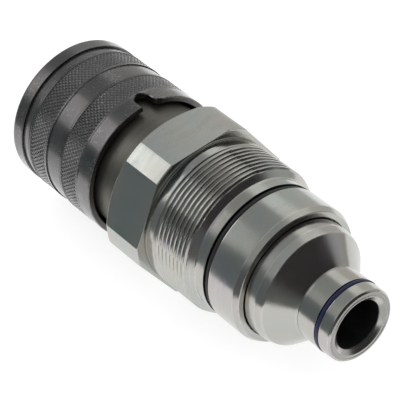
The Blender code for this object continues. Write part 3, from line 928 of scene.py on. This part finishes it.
def paint_recess_shade(piece, inside):
    """Give the faces that a rule picks the painted shade of bores and grooves, a dull dark metal.
    """
    piece.data.materials.append(RECESS_SHADE)
    for face in piece.data.polygons:
        away = math.hypot(face.center.y, face.center.z) / MM
        if inside(face.center.x / MM, away):
            face.material_index = 1


housing = stand_in(build_housing(), "cartridge_housing", ZINC)
# painted shade: the black ring's groove gets the dull dark metal, so that it reads as a dark line
paint_recess_shade(housing, lambda station, away: 21.5 < station < 23.6 and away < LAND_RADIUS - 0.15)
print("housing:", len(housing.data.polygons), "faces, thread of",
      round((THREAD_END - THREAD_FRONT) / PITCH, 1), "turns")

# %% [markdown]
# ## The nose piece
#
# The nose plugs into the block's bore and its blue ring seals it. It is plain lathe work: a
# spigot with a countersunk end, a broad cone, and inside the seat of the check valve. Its
# looks rest on the eased edges, the fine recess lines and a good outline, so it is turned.

# %% Turn the nose piece
NOSE_START, NOSE_END = ends("nose_piece")
NOSE_RADIUS = 10.2
NOSE_BORE = 6.75
NOSE_GROOVE = (52.4, 53.95)
PORT_BODY = 16.6
BODY_GROOVE = (26.3, 28.7)      # of the ring that seals the nose piece in the housing
GUIDE_RING = (26.0, 27.4)       # where the check valve's guide is held
CHECK_BORE = 11.2
SEAT_START = 37.5               # the check valve's seat narrows from here
SEAT_END = 41.0


def nose_outline():
    """Give the nose piece's outline."""
    return [
        (NOSE_START, CHECK_BORE, 0.1), (NOSE_START, PORT_BODY, 0.3),
        *groove(*BODY_GROOVE, PORT_BODY, 14.7), *groove(*PORT_RING, PORT_BODY, 15.6),
        (37.9, PORT_BODY, 0.25), (40.05, 16.05, 0.35), (46.05, NOSE_RADIUS + 0.15, 0.1),
        (46.3, NOSE_RADIUS - 0.1, 0.1), (46.7, NOSE_RADIUS, 0.15),
        *groove(*NOSE_GROOVE, NOSE_RADIUS, 8.8, 0.15),
        (NOSE_END - 0.6, NOSE_RADIUS - 0.1, 0.2), (NOSE_END, NOSE_RADIUS - 0.6, 0.15),
        (NOSE_END, 9.0, 0.05), (NOSE_END - 0.12, 8.9, 0.05), (NOSE_END - 0.12, 8.7, 0.05),
        (NOSE_END, 8.6, 0.05), (NOSE_END, 8.2, 0.12), (NOSE_END - 1.0, NOSE_BORE, 0.2),
        (SEAT_END, NOSE_BORE, 0.1), (SEAT_START, 10.2, 0.1), (SEAT_START, CHECK_BORE, 0.1),
        *groove(GUIDE_RING[1], GUIDE_RING[0], CHECK_BORE, CHECK_BORE + 0.8)]


nose = stand_in(turned("nose_piece_finished", nose_outline(), 224), "nose_piece", ZINC)
# painted shade: the nose's bores and the blue ring's groove get the dull dark metal
paint_recess_shade(nose, lambda station, away: (away < NOSE_BORE + 0.12 and station < NOSE_END - 0.9
                                    or away < CHECK_BORE + 0.9 and station < SEAT_END
                                    or away < NOSE_RADIUS - 0.2 and 52.3 < station < 54.1))
print("nose piece:", len(nose.data.polygons), "faces")

# %% [markdown]
# ## The socket
#
# The socket is screwed into the housing, and only its dark collar shows between the hexagon
# and the sleeve. From the mouth, one sees its bore and the eight tapered holes that keep the
# balls from falling in. The holes could be left open in the turned grid, but they are round
# and tapered, so they are drilled after turning, as on the real piece.

# %% Turn and drill the socket
SOCKET_FRONT, SOCKET_REAR = ends("socket_body")
SOCKET_RADIUS = 15.7
SOCKET_BORE = 12.4
COLLAR_RADIUS = reach("socket_body")
COLLAR = (-30.5, HEX_FRONT - 0.3)
MOUTH_RING = (-55.9, -54.5)     # where the front snap ring stops the sleeve
JOINT_GROOVE = (-10.0, -7.6)
PROBE_GROOVE = (-42.2, -37.2)   # of the probe's seal and its backup ring
BALL_COUNT = 8
BALL_STATION = sum(ends("lock_ball_1")) / 2


def socket_outline():
    """Give the socket's outline."""
    shank = SHANK_BORE - 0.3
    return [
        (SOCKET_FRONT, SOCKET_BORE + 1.0, 0.15), (SOCKET_FRONT, SOCKET_RADIUS, 0.4),
        *groove(*MOUTH_RING, SOCKET_RADIUS, 14.9), (COLLAR[0], SOCKET_RADIUS, 0.2),
        (COLLAR[0], COLLAR_RADIUS, 0.4), (COLLAR[1] - 0.5, COLLAR_RADIUS, 0.1),
        (COLLAR[1], COLLAR_RADIUS - 0.3, 0.1), (COLLAR[1], shank, 0.1),
        *groove(*JOINT_GROOVE, shank, 13.7), (SOCKET_REAR, shank, 0.2),
        (SOCKET_REAR, SOCKET_BORE, 0.2),
        *groove(PROBE_GROOVE[1], PROBE_GROOVE[0], SOCKET_BORE, 14.5),
        (SOCKET_FRONT + 1.4, SOCKET_BORE, 0.25)]


def ball_drills():
    """Point a tapered drill at each ball."""
    middle = 14.3
    narrow_and_wide = (2.2, 3.1)
    places = [Matrix.Translation(on_axis(BALL_STATION, middle, angle))
              @ Matrix.Rotation(-angle, 4, "X") for angle in angles(BALL_COUNT)]
    return drills("ball_drills", places, narrow_and_wide, 5.4)


socket = turned("socket_body_finished", socket_outline(), 240)
stand_in(cut(socket, ball_drills()), "socket_body", PHOSPHATE)
print("socket:", len(socket.data.polygons), "faces")

# %% [markdown]
# The balls are bought parts: hardened, ground and mirror bright. A UV sphere pinches at its
# poles, so a subdivided cube is pushed out to the ball's radius, which gives even faces.

# %% The locking balls
def ball(name, node):
    """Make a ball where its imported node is."""
    low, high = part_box(node)
    radius = (high.x - low.x) / 2
    work = bmesh.new()
    bmesh.ops.create_cube(work, size=2.0)
    bmesh.ops.subdivide_edges(work, edges=work.edges, cuts=11, use_grid_fill=True)
    for vert in work.verts:
        vert.co = (low + high) / 2 + vert.co.normalized() * radius
    return finish_mesh(name, work)


for number in range(1, BALL_COUNT + 1):
    node = f"lock_ball_{number}"
    stand_in(ball(node + "_finished", node), node, GROUND)

# %% [markdown]
# ## Valves
#
# Behind the mouth the stem and its sleeve close the socket with one flat face, so that no
# oil is spilt when the halves part. The stem stands still, and the plug pushes the sleeve
# back round it. Both are lathe work, ground bright where they seal.

# %% Turn the flat-face valve
FACE, STEM_END = ends("flat_face_stem")
VALVE_REAR = ends("valve_sleeve")[1]
VALVE_RADIUS = reach("valve_sleeve")
HEAD = 7.4                      # radius of the stem's head
VALVE_BORE = HEAD + 0.3
ROD = 3.0                       # radius of the threaded end that the nut holds
NECK = 3.6
STEM_FLANGE = (-4.2, -3.0)
FLANGE_RADIUS = 4.6
STEM_GROOVE = (-43.3, -41.3)
VALVE_GROOVE = (-34.6, -32.5)

stem_outline = [
    (FACE, 0.0), (FACE, HEAD, 0.15), *groove(*STEM_GROOVE, HEAD, HEAD - 1.7, 0.1),
    (-39.0, HEAD, 0.2), (-36.0, NECK, 0.6), (STEM_FLANGE[0], NECK, 0.2),
    (STEM_FLANGE[0], FLANGE_RADIUS, 0.15), (STEM_FLANGE[1], FLANGE_RADIUS, 0.15),
    (STEM_FLANGE[1], ROD, 0.1), (STEM_END, ROD, 0.4), (STEM_END, 0.0)]
valve_outline = [
    (FACE, VALVE_BORE, 0.1), (FACE, VALVE_RADIUS, 0.4),
    *groove(*VALVE_GROOVE, VALVE_RADIUS, VALVE_RADIUS - 1.8), (VALVE_REAR, VALVE_RADIUS, 0.25),
    (VALVE_REAR, VALVE_BORE + 1.3, 0.2), (-35.6, VALVE_BORE + 1.3, 0.3), (-37.0, VALVE_BORE, 0.2)]
stand_in(turned("flat_face_stem_finished", stem_outline, 144), "flat_face_stem", GROUND)
stand_in(turned("valve_sleeve_finished", valve_outline), "valve_sleeve", GROUND)
print("flat face at", round(FACE, 2), "mm, stem", round(STEM_END - FACE, 2), "mm long")

# %% [markdown]
# At the other end a sprung poppet closes the nose. Its cone lies against the seat inside the
# nose piece, and a small ring in a groove of the cone makes it tight. The groove's edges have
# to lie on the cone, so a rule gives the cone's radius, and the poppet is turned like the rest.

# %% Turn the check poppet
POPPET_BACK = 36.0
CHECK_END, POPPET_FRONT = ends("check_poppet")
POPPET_RADIUS = reach("check_poppet")
POPPET_FACE = 6.9               # radius of the cone's small end
CHECK_GROOVE = (38.2, 39.5)
CHECK_GROOVE_FLOOR = 6.6


def cone_radius(station):
    """Give the radius of the poppet's cone."""
    share = (POPPET_FRONT - station) / (POPPET_FRONT - SEAT_START)
    return POPPET_FACE + (POPPET_RADIUS - POPPET_FACE) * share


poppet_outline = [
    (POPPET_FRONT, 0.0), (POPPET_FRONT, POPPET_FACE, 0.15),
    (CHECK_GROOVE[1], cone_radius(CHECK_GROOVE[1]), 0.08),
    (CHECK_GROOVE[1], CHECK_GROOVE_FLOOR, 0.08), (CHECK_GROOVE[0], CHECK_GROOVE_FLOOR, 0.08),
    (CHECK_GROOVE[0], cone_radius(CHECK_GROOVE[0]), 0.08),
    (SEAT_START, POPPET_RADIUS, 0.15), (POPPET_BACK, POPPET_RADIUS, 0.2), (POPPET_BACK, ROD, 0.3),
    (CHECK_END, ROD, 0.3), (CHECK_END, 0.0)]
stand_in(turned("check_poppet_finished", poppet_outline, 144), "check_poppet", GROUND)
print("poppet's cone:", round(POPPET_FRONT - SEAT_START, 2), "mm long")

# %% [markdown]
# Both valves are guided by a thin plate with round windows for the oil. A plate with holes
# could be built from an outline, but turning a disc and drilling it is shorter, and it is
# what the workshop does.

# %% Turn and drill the two guides
def window_drills(node, count, pitch_radius, radius):
    """Point drills along the axis, for the oil windows of a guide."""
    first, last = ends(node)
    flip = Matrix.Rotation(math.pi / 2, 4, "Y")
    places = [Matrix.Translation(on_axis((first + last) / 2, pitch_radius,
                                         angle + math.pi / count)) @ flip
              for angle in angles(count)]
    return drills("windows", places, (radius, radius), last - first + 2.0)


ROD_HOLE = ROD + 0.3
# count of windows, radius of the circle they lie on, and radius of each
GUIDES = {"stem_guide": (6, 8.9, 2.3), "check_guide": (4, 7.0, 1.9)}
for node, windows in GUIDES.items():
    first, last = ends(node)
    rim = reach(node)
    disc = [(first, ROD_HOLE, 0.1), (first, rim, 0.2), (last, rim, 0.2), (last, ROD_HOLE, 0.1)]
    guide = cut(turned(node + "_finished", disc), window_drills(node, *windows))
    stand_in(guide, node, GROUND)
    print(f"{node}: {windows[0]} windows")

# %% [markdown]
# The stem is held by a nut on a plain washer. The nut could be a six-sided cylinder with a
# bevel, but it uses the hexagon's columns again, at a quarter of the housing's size, because
# they give both its ends the round chamfer of a bought nut. The other flat rings, under the
# sleeve's spring and behind the probe's seal, are washers too, so they are made here.

# %% The nut and the washers
NUT_HALF_FLATS = 5.0
NUT_CORNER = 5.75


def nut_outline(angle):
    """Give the nut's outline at one angle, chamfered at both ends."""
    first, last = ends("stem_nut")
    radius = hexagon_radius(angle, NUT_HALF_FLATS, NUT_CORNER)
    drop = 0.7 * (radius - NUT_HALF_FLATS) + 0.15
    face = NUT_HALF_FLATS - 0.3
    return [(first, ROD_HOLE, 0.2), (first, face, 0.1), (first + drop, radius, 0.08),
            (last - drop, radius, 0.08), (last, face, 0.1), (last, ROD_HOLE, 0.2)]


def hexagon_nut():
    """Make the nut from columns with a hexagon's radius."""
    turn = hexagon_columns(96, math.acos(NUT_HALF_FLATS / NUT_CORNER))
    work = bmesh.new()
    add_rings(work, *column_rings(nut_outline, turn))
    return finish_mesh("stem_nut_finished", work, HEXAGON_SHARP)


def washer(node, inner, ease):
    """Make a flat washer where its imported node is."""
    first, last = ends(node)
    rim = reach(node)
    outline = [(first, inner, ease), (first, rim, ease), (last, rim, ease), (last, inner, ease)]
    return turned(node + "_finished", outline)


stand_in(hexagon_nut(), "stem_nut", GROUND)
stand_in(washer("stem_lock_washer", ROD_HOLE, 0.15), "stem_lock_washer", DRAWN)
stand_in(washer("spring_washer", 16.2, 0.25), "spring_washer", DRAWN)
stand_in(washer("probe_backup_ring", 12.6, 0.3), "probe_backup_ring", BACKUP_PLASTIC)
print("nut:", 2 * NUT_HALF_FLATS, "mm across flats")

# %% [markdown]
# ## Seals
#
# An O-ring is a torus, and a torus primitive would do. Turning a circle keeps it on the same
# footing as everything else. Each ring takes its station and outer radius from its node, and
# only its section's radius is given here. The blue one and the black one in the housing show
# from outside.

# %% Turn the seals
SEAL_SIDES = 20                 # points round a ring's section


def seal(node, section):
    """Turn a round-section ring into its node's place."""
    first, last = ends(node)
    middle = (first + last) / 2
    radius = reach(node) - section
    outline = [(middle + section * math.cos(angle), radius + section * math.sin(angle), 0.0)
               for angle in angles(SEAL_SIDES)]
    return turned(node + "_finished", outline)


# radius of each ring's section
SEAL_SECTIONS = {
    "housing_o_ring": 0.80, "nose_piece_o_ring": 0.75, "socket_joint_o_ring": 0.70,
    "probe_seal": 0.90, "stem_seal": 0.65, "valve_sleeve_seal": 0.70, "check_seal": 0.50}
for node, section in SEAL_SECTIONS.items():
    stand_in(seal(node, section), node, BLACK_RUBBER)
stand_in(seal("nose_o_ring", 0.66), "nose_o_ring", BLUE_RUBBER)
print(len(SEAL_SECTIONS) + 1, "seals turned")

# %% [markdown]
# ## Snap rings
#
# Three split rings hold the pieces together along the axis. Each is a flat strip bent round
# with its ends apart, so its section travels round the gap's far side and both ends are
# closed with a face. The one in the mouth is seen from the front.

# %% Bend the snap rings
SNAP_GAP = math.radians(24)
SNAP_STEPS = 160
# inner radius of each ring
SNAP_RINGS = {"front_snap_ring": 15.15, "port_snap_ring": 15.9, "check_guide_ring": 10.0}


def snap_ring(node, inner):
    """Bend a strip into a split ring with its gap at the bottom."""
    first, last = ends(node)
    rim = reach(node)
    section, wear = eased([(first, inner), (first, rim), (last, rim), (last, inner)])
    start = math.pi + SNAP_GAP / 2
    sweep = 2 * math.pi - SNAP_GAP
    sections = [[on_axis(*point, start + sweep * step / SNAP_STEPS) for point in section]
                for step in range(SNAP_STEPS + 1)]
    work = bmesh.new()
    rows = add_rings(work, sections, [0.0] * len(sections), closed=False)
    layer = work.verts.layers.float[WEAR]
    for row in rows:
        for vert, worn in zip(row, wear):
            vert[layer] = worn
    work.faces.new(rows[0])
    work.faces.new(rows[-1])
    return finish_mesh(node + "_finished", work)


for node, inner in SNAP_RINGS.items():
    stand_in(snap_ring(node, inner), node, DRAWN)
print(len(SNAP_RINGS), "snap rings bent")

# %% [markdown]
# ## Springs
#
# Each spring is wire wound on a mandrel: a curve with a round bevel, made into a mesh.

# %% Wind the springs
COIL_STEPS = 48                 # points in one turn of a spring
WIRE_SHARP = 50                 # degrees; keeps the wire's cut ends crisp


def spring(node, mean_radius, wire_radius, turns):
    """Wind a spring in its node's place."""
    first, last = ends(node)
    first, last = first + wire_radius, last - wire_radius
    count = int(turns * COIL_STEPS) + 1
    curve = bpy.data.curves.new(node, "CURVE")
    curve.dimensions = "3D"
    curve.bevel_depth = wire_radius * MM
    curve.bevel_resolution = 4
    curve.use_fill_caps = True
    strand = curve.splines.new("POLY")
    strand.points.add(count - 1)
    for step in range(count):
        station = first + (last - first) * step / (count - 1)
        point = on_axis(station, mean_radius, 2 * math.pi * step / COIL_STEPS)
        strand.points[step].co = (*point, 1.0)
    winding = add_object("winding", curve)
    mesh = plain_mesh(winding)
    bpy.data.objects.remove(winding, do_unlink=True)
    shade(mesh, WIRE_SHARP)
    piece = stand_in(add_object(node + "_finished", mesh), node, DRAWN)
    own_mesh(piece)


spring("sleeve_spring", 17.4, 0.8, 2.75)
spring("valve_spring", 10.5, 0.8, 4.5)
spring("check_spring", 7.4, 0.6, 2.5)
missing = sorted(set(BODY_OF) - set(finished))
print("nodes without a finished piece:", missing)

# %% [markdown]
# ## The studio
#
# Plated steel shows its surroundings more than itself, so the studio is what gives it form.
# The floor is white, but only a sheet of paper's worth of it shows in the metal: further out
# the metal sees a dark table, and that dark band is what draws the lower edge of each
# cylinder. The floor is one surface to the eye, made of a sheet and the floor around it. A
# grey patch of painted shade lies on the sheet before the nose. Only the metal sees it, as a
# softer, darker tone.

# %% The floor
SHEET_LOW = (-0.20, -0.105)     # corners of the sheet that the metal reflects
SHEET_HIGH = (0.20, 0.16)
SHADE_PATCH_LOW = (0.068, -0.02)       # nearest corner of the painted shade patch
SHADE_PATCH_RAISED = 0.2 * MM          # how far the painted shade patch lies above the sheet
FLOOR_HALF = 6.0


def paper_of(name, colour, glow):
    """Make an even paper that glows a little, so that shadows on it stay light."""
    material, tree, shader = new_material(name)
    set_inputs(tree, shader, {
        "Base Color": (colour, colour, colour, 1), "Roughness": 0.9, "Specular IOR Level": 0.1,
        "Emission Color": (1, 1, 1, 1), "Emission Strength": glow})
    return material


def flat_surface(name, corners, faces, material, raised=0.0):
    """Make a flat piece of the floor."""
    mesh = bpy.data.meshes.new(name)
    mesh.from_pydata([(x, y, cad_box[0][2] + raised) for x, y in corners], [], faces)
    mesh.materials.append(material)
    surface = add_object(name, mesh)
    return surface


(left, front), (right, rear) = SHEET_LOW, SHEET_HIGH
sheet_corners = [(left, front), (right, front), (right, rear), (left, rear)]
floor_corners = [(-FLOOR_HALF, -FLOOR_HALF), (FLOOR_HALF, -FLOOR_HALF),
                 (FLOOR_HALF, FLOOR_HALF), (-FLOOR_HALF, FLOOR_HALF)]
paper = paper_of("white paper", 0.36, 0.76)
flat_surface("studio_sheet", sheet_corners, [(0, 1, 2, 3)], paper)
around = flat_surface("studio_floor", sheet_corners + floor_corners,
                      [(4 + side, 4 + (side + 1) % 4, (side + 1) % 4, side) for side in range(4)],
                      paper)
around.visible_glossy = False
# painted shade: a glowing grey patch on the sheet, seen only in the metal's reflections, for the
# darker floor before the nose
shade_patch_corners = [SHADE_PATCH_LOW, (right, SHADE_PATCH_LOW[1]), (right, rear), (SHADE_PATCH_LOW[0], rear)]
shade_patch = flat_surface("studio_painted_shade", shade_patch_corners, [(0, 1, 2, 3)],
                    paper_of("grey painted shade", 0.20, 0.50), SHADE_PATCH_RAISED)
shade_patch.visible_camera = False
shade_patch.visible_diffuse = False
shade_patch.visible_shadow = False
print("floor laid at", round(cad_box[0][2] / MM, 2), "mm")

# %% [markdown]
# The walls and cards that the metal sees are painted into the sky by direction, which is
# quieter than real lamps. Each card is a direction, a half-angle, a softness and a colour.
# The sky's nodes compare the looking direction with the card's and mix its colour in, and
# later cards cover earlier ones. Matt things are lit by an even white sky instead.

# %% The sky with its cards
SKY = (0.44, 0.46, 0.465)
EVEN_WHITE = (1.05, 1.05, 1.05)
CARDS = (
    # name, azimuth and elevation, half-angle and softness, all in degrees, and colour
    ("dark table", (0, -90), 84, 10, (0.07, 0.075, 0.075)),
    ("pale wall behind", (112, 10), 32, 34, (0.63, 0.63, 0.60)),
    ("bright wall above it", (95, 48), 20, 14, (0.86, 0.87, 0.85)),
    ("grey wall above the sleeve", (175, 50), 24, 14, (0.35, 0.37, 0.37)),
    ("window behind", (132, 38), 12, 6, (0.90, 0.92, 0.91)),
    ("dark room by the camera", (8, 21), 50, 9, (0.030, 0.028, 0.030)),
    ("dark screen on the left", (-128, 9), 23, 8, (0.165, 0.195, 0.20)),
    ("its middle", (-95, 10), 23, 8, (0.15, 0.175, 0.18)),
    ("its near end", (-62, 10), 23, 8, (0.12, 0.13, 0.13)),
)


def build_sky():
    """Build the sky: cards for what metal reflects, even white for everything else."""
    world = bpy.data.worlds.new("studio")
    bpy.context.scene.world = world
    world.use_nodes = True
    tree = world.node_tree
    look = tree.nodes.new("ShaderNodeTexCoord").outputs["Generated"]
    colour = (*SKY, 1.0)
    for title, (azimuth, elevation), half_angle, softness, paint in CARDS:
        facing = tree.nodes.new("ShaderNodeVectorMath")
        facing.operation = "DOT_PRODUCT"
        facing.label = title
        wire(tree, look, facing.inputs[0])
        turned_to = Euler((0, math.radians(-elevation), math.radians(azimuth)))
        facing.inputs[1].default_value = turned_to.to_matrix() @ Vector((1, 0, 0))
        outer = math.cos(math.radians(half_angle + softness / 2))
        inner = math.cos(math.radians(half_angle - softness / 2))
        mask = spread(tree, facing.outputs["Value"], outer, inner)
        colour = mix(tree, mask, colour, (*paint, 1.0))
    path = tree.nodes.new("ShaderNodeLightPath")
    seen = mix(tree, path.outputs["Is Glossy Ray"], (*EVEN_WHITE, 1.0), colour)
    wire(tree, seen, tree.nodes["Background"].inputs["Color"])


build_sky()
print("sky painted with", len(CARDS), "cards")

# %% [markdown]
# The camera looks down on the coupler from its nose, with a long lens and a slight roll, so
# that the axis runs from the upper left to the lower right of the frame. It is placed on a
# sphere about the point it looks at.

# %% The camera
LOOK_AT = Vector((0.0108, -0.0091, 0.0168))
DISTANCE = 0.490
AZIMUTH = math.radians(57.15)
ELEVATION = math.radians(42.53)
ROLL = math.radians(-8.88)

toward = Vector((math.sin(AZIMUTH) * math.cos(ELEVATION),
                 -math.cos(AZIMUTH) * math.cos(ELEVATION), math.sin(ELEVATION)))
lens = bpy.data.cameras.new("camera")
lens.lens = 180.0
lens.sensor_width = 36.0
camera = add_object("camera", lens)
level = toward.to_track_quat("Z", "Y").to_matrix().to_4x4()
camera.matrix_world = (Matrix.Translation(LOOK_AT + toward * DISTANCE) @ level
                       @ Matrix.Rotation(ROLL, 4, "Z"))
bpy.context.scene.camera = camera
bpy.context.scene.view_settings.view_transform = "Standard"
print("camera", DISTANCE, "m away, lens", lens.lens, "mm")

# %% [markdown]
# One small soft box stands up to the left, close to the sleeve. It gives the sleeve its long
# highlight and lights up the hexagon's near corner, and it is too small to be seen in the
# nose. An area lamp is right for it, because its nearness matters. It stands where the
# sleeve's left shoulder mirrors it to the camera.

# %% The soft box
BOX_DISTANCE = 0.25
BOX_SIZE = (0.072, 0.165)
BOX_RADIANCE = 1.55
BOX_STATION = -28.0             # the middle of its mirror image on the sleeve
BOX_AIM_RADIUS = 21.0
BOX_ANGLE = math.radians(-33)

aim = on_axis(BOX_STATION, BOX_AIM_RADIUS, BOX_ANGLE)
outward = on_axis(0.0, 1.0, BOX_ANGLE).normalized()
looking = (aim - camera.matrix_world.translation).normalized()
toward_box = looking.reflect(outward)
lamp = bpy.data.lights.new("soft_box", "AREA")
lamp.shape = "RECTANGLE"
lamp.size, lamp.size_y = BOX_SIZE
lamp.energy = BOX_RADIANCE * math.pi * BOX_SIZE[0] * BOX_SIZE[1]
lamp.color = (1.0, 0.98, 0.95)
box = add_object("soft_box", lamp)
upright = toward_box.cross(Vector((1, 0, 0))).normalized()
across = upright.cross(toward_box)
box_axes = Matrix((across, upright, toward_box)).transposed()
box.matrix_world = Matrix.Translation(aim + toward_box * BOX_DISTANCE) @ box_axes.to_4x4()
box.visible_camera = False
print("soft box", round(lamp.energy, 3), "W")
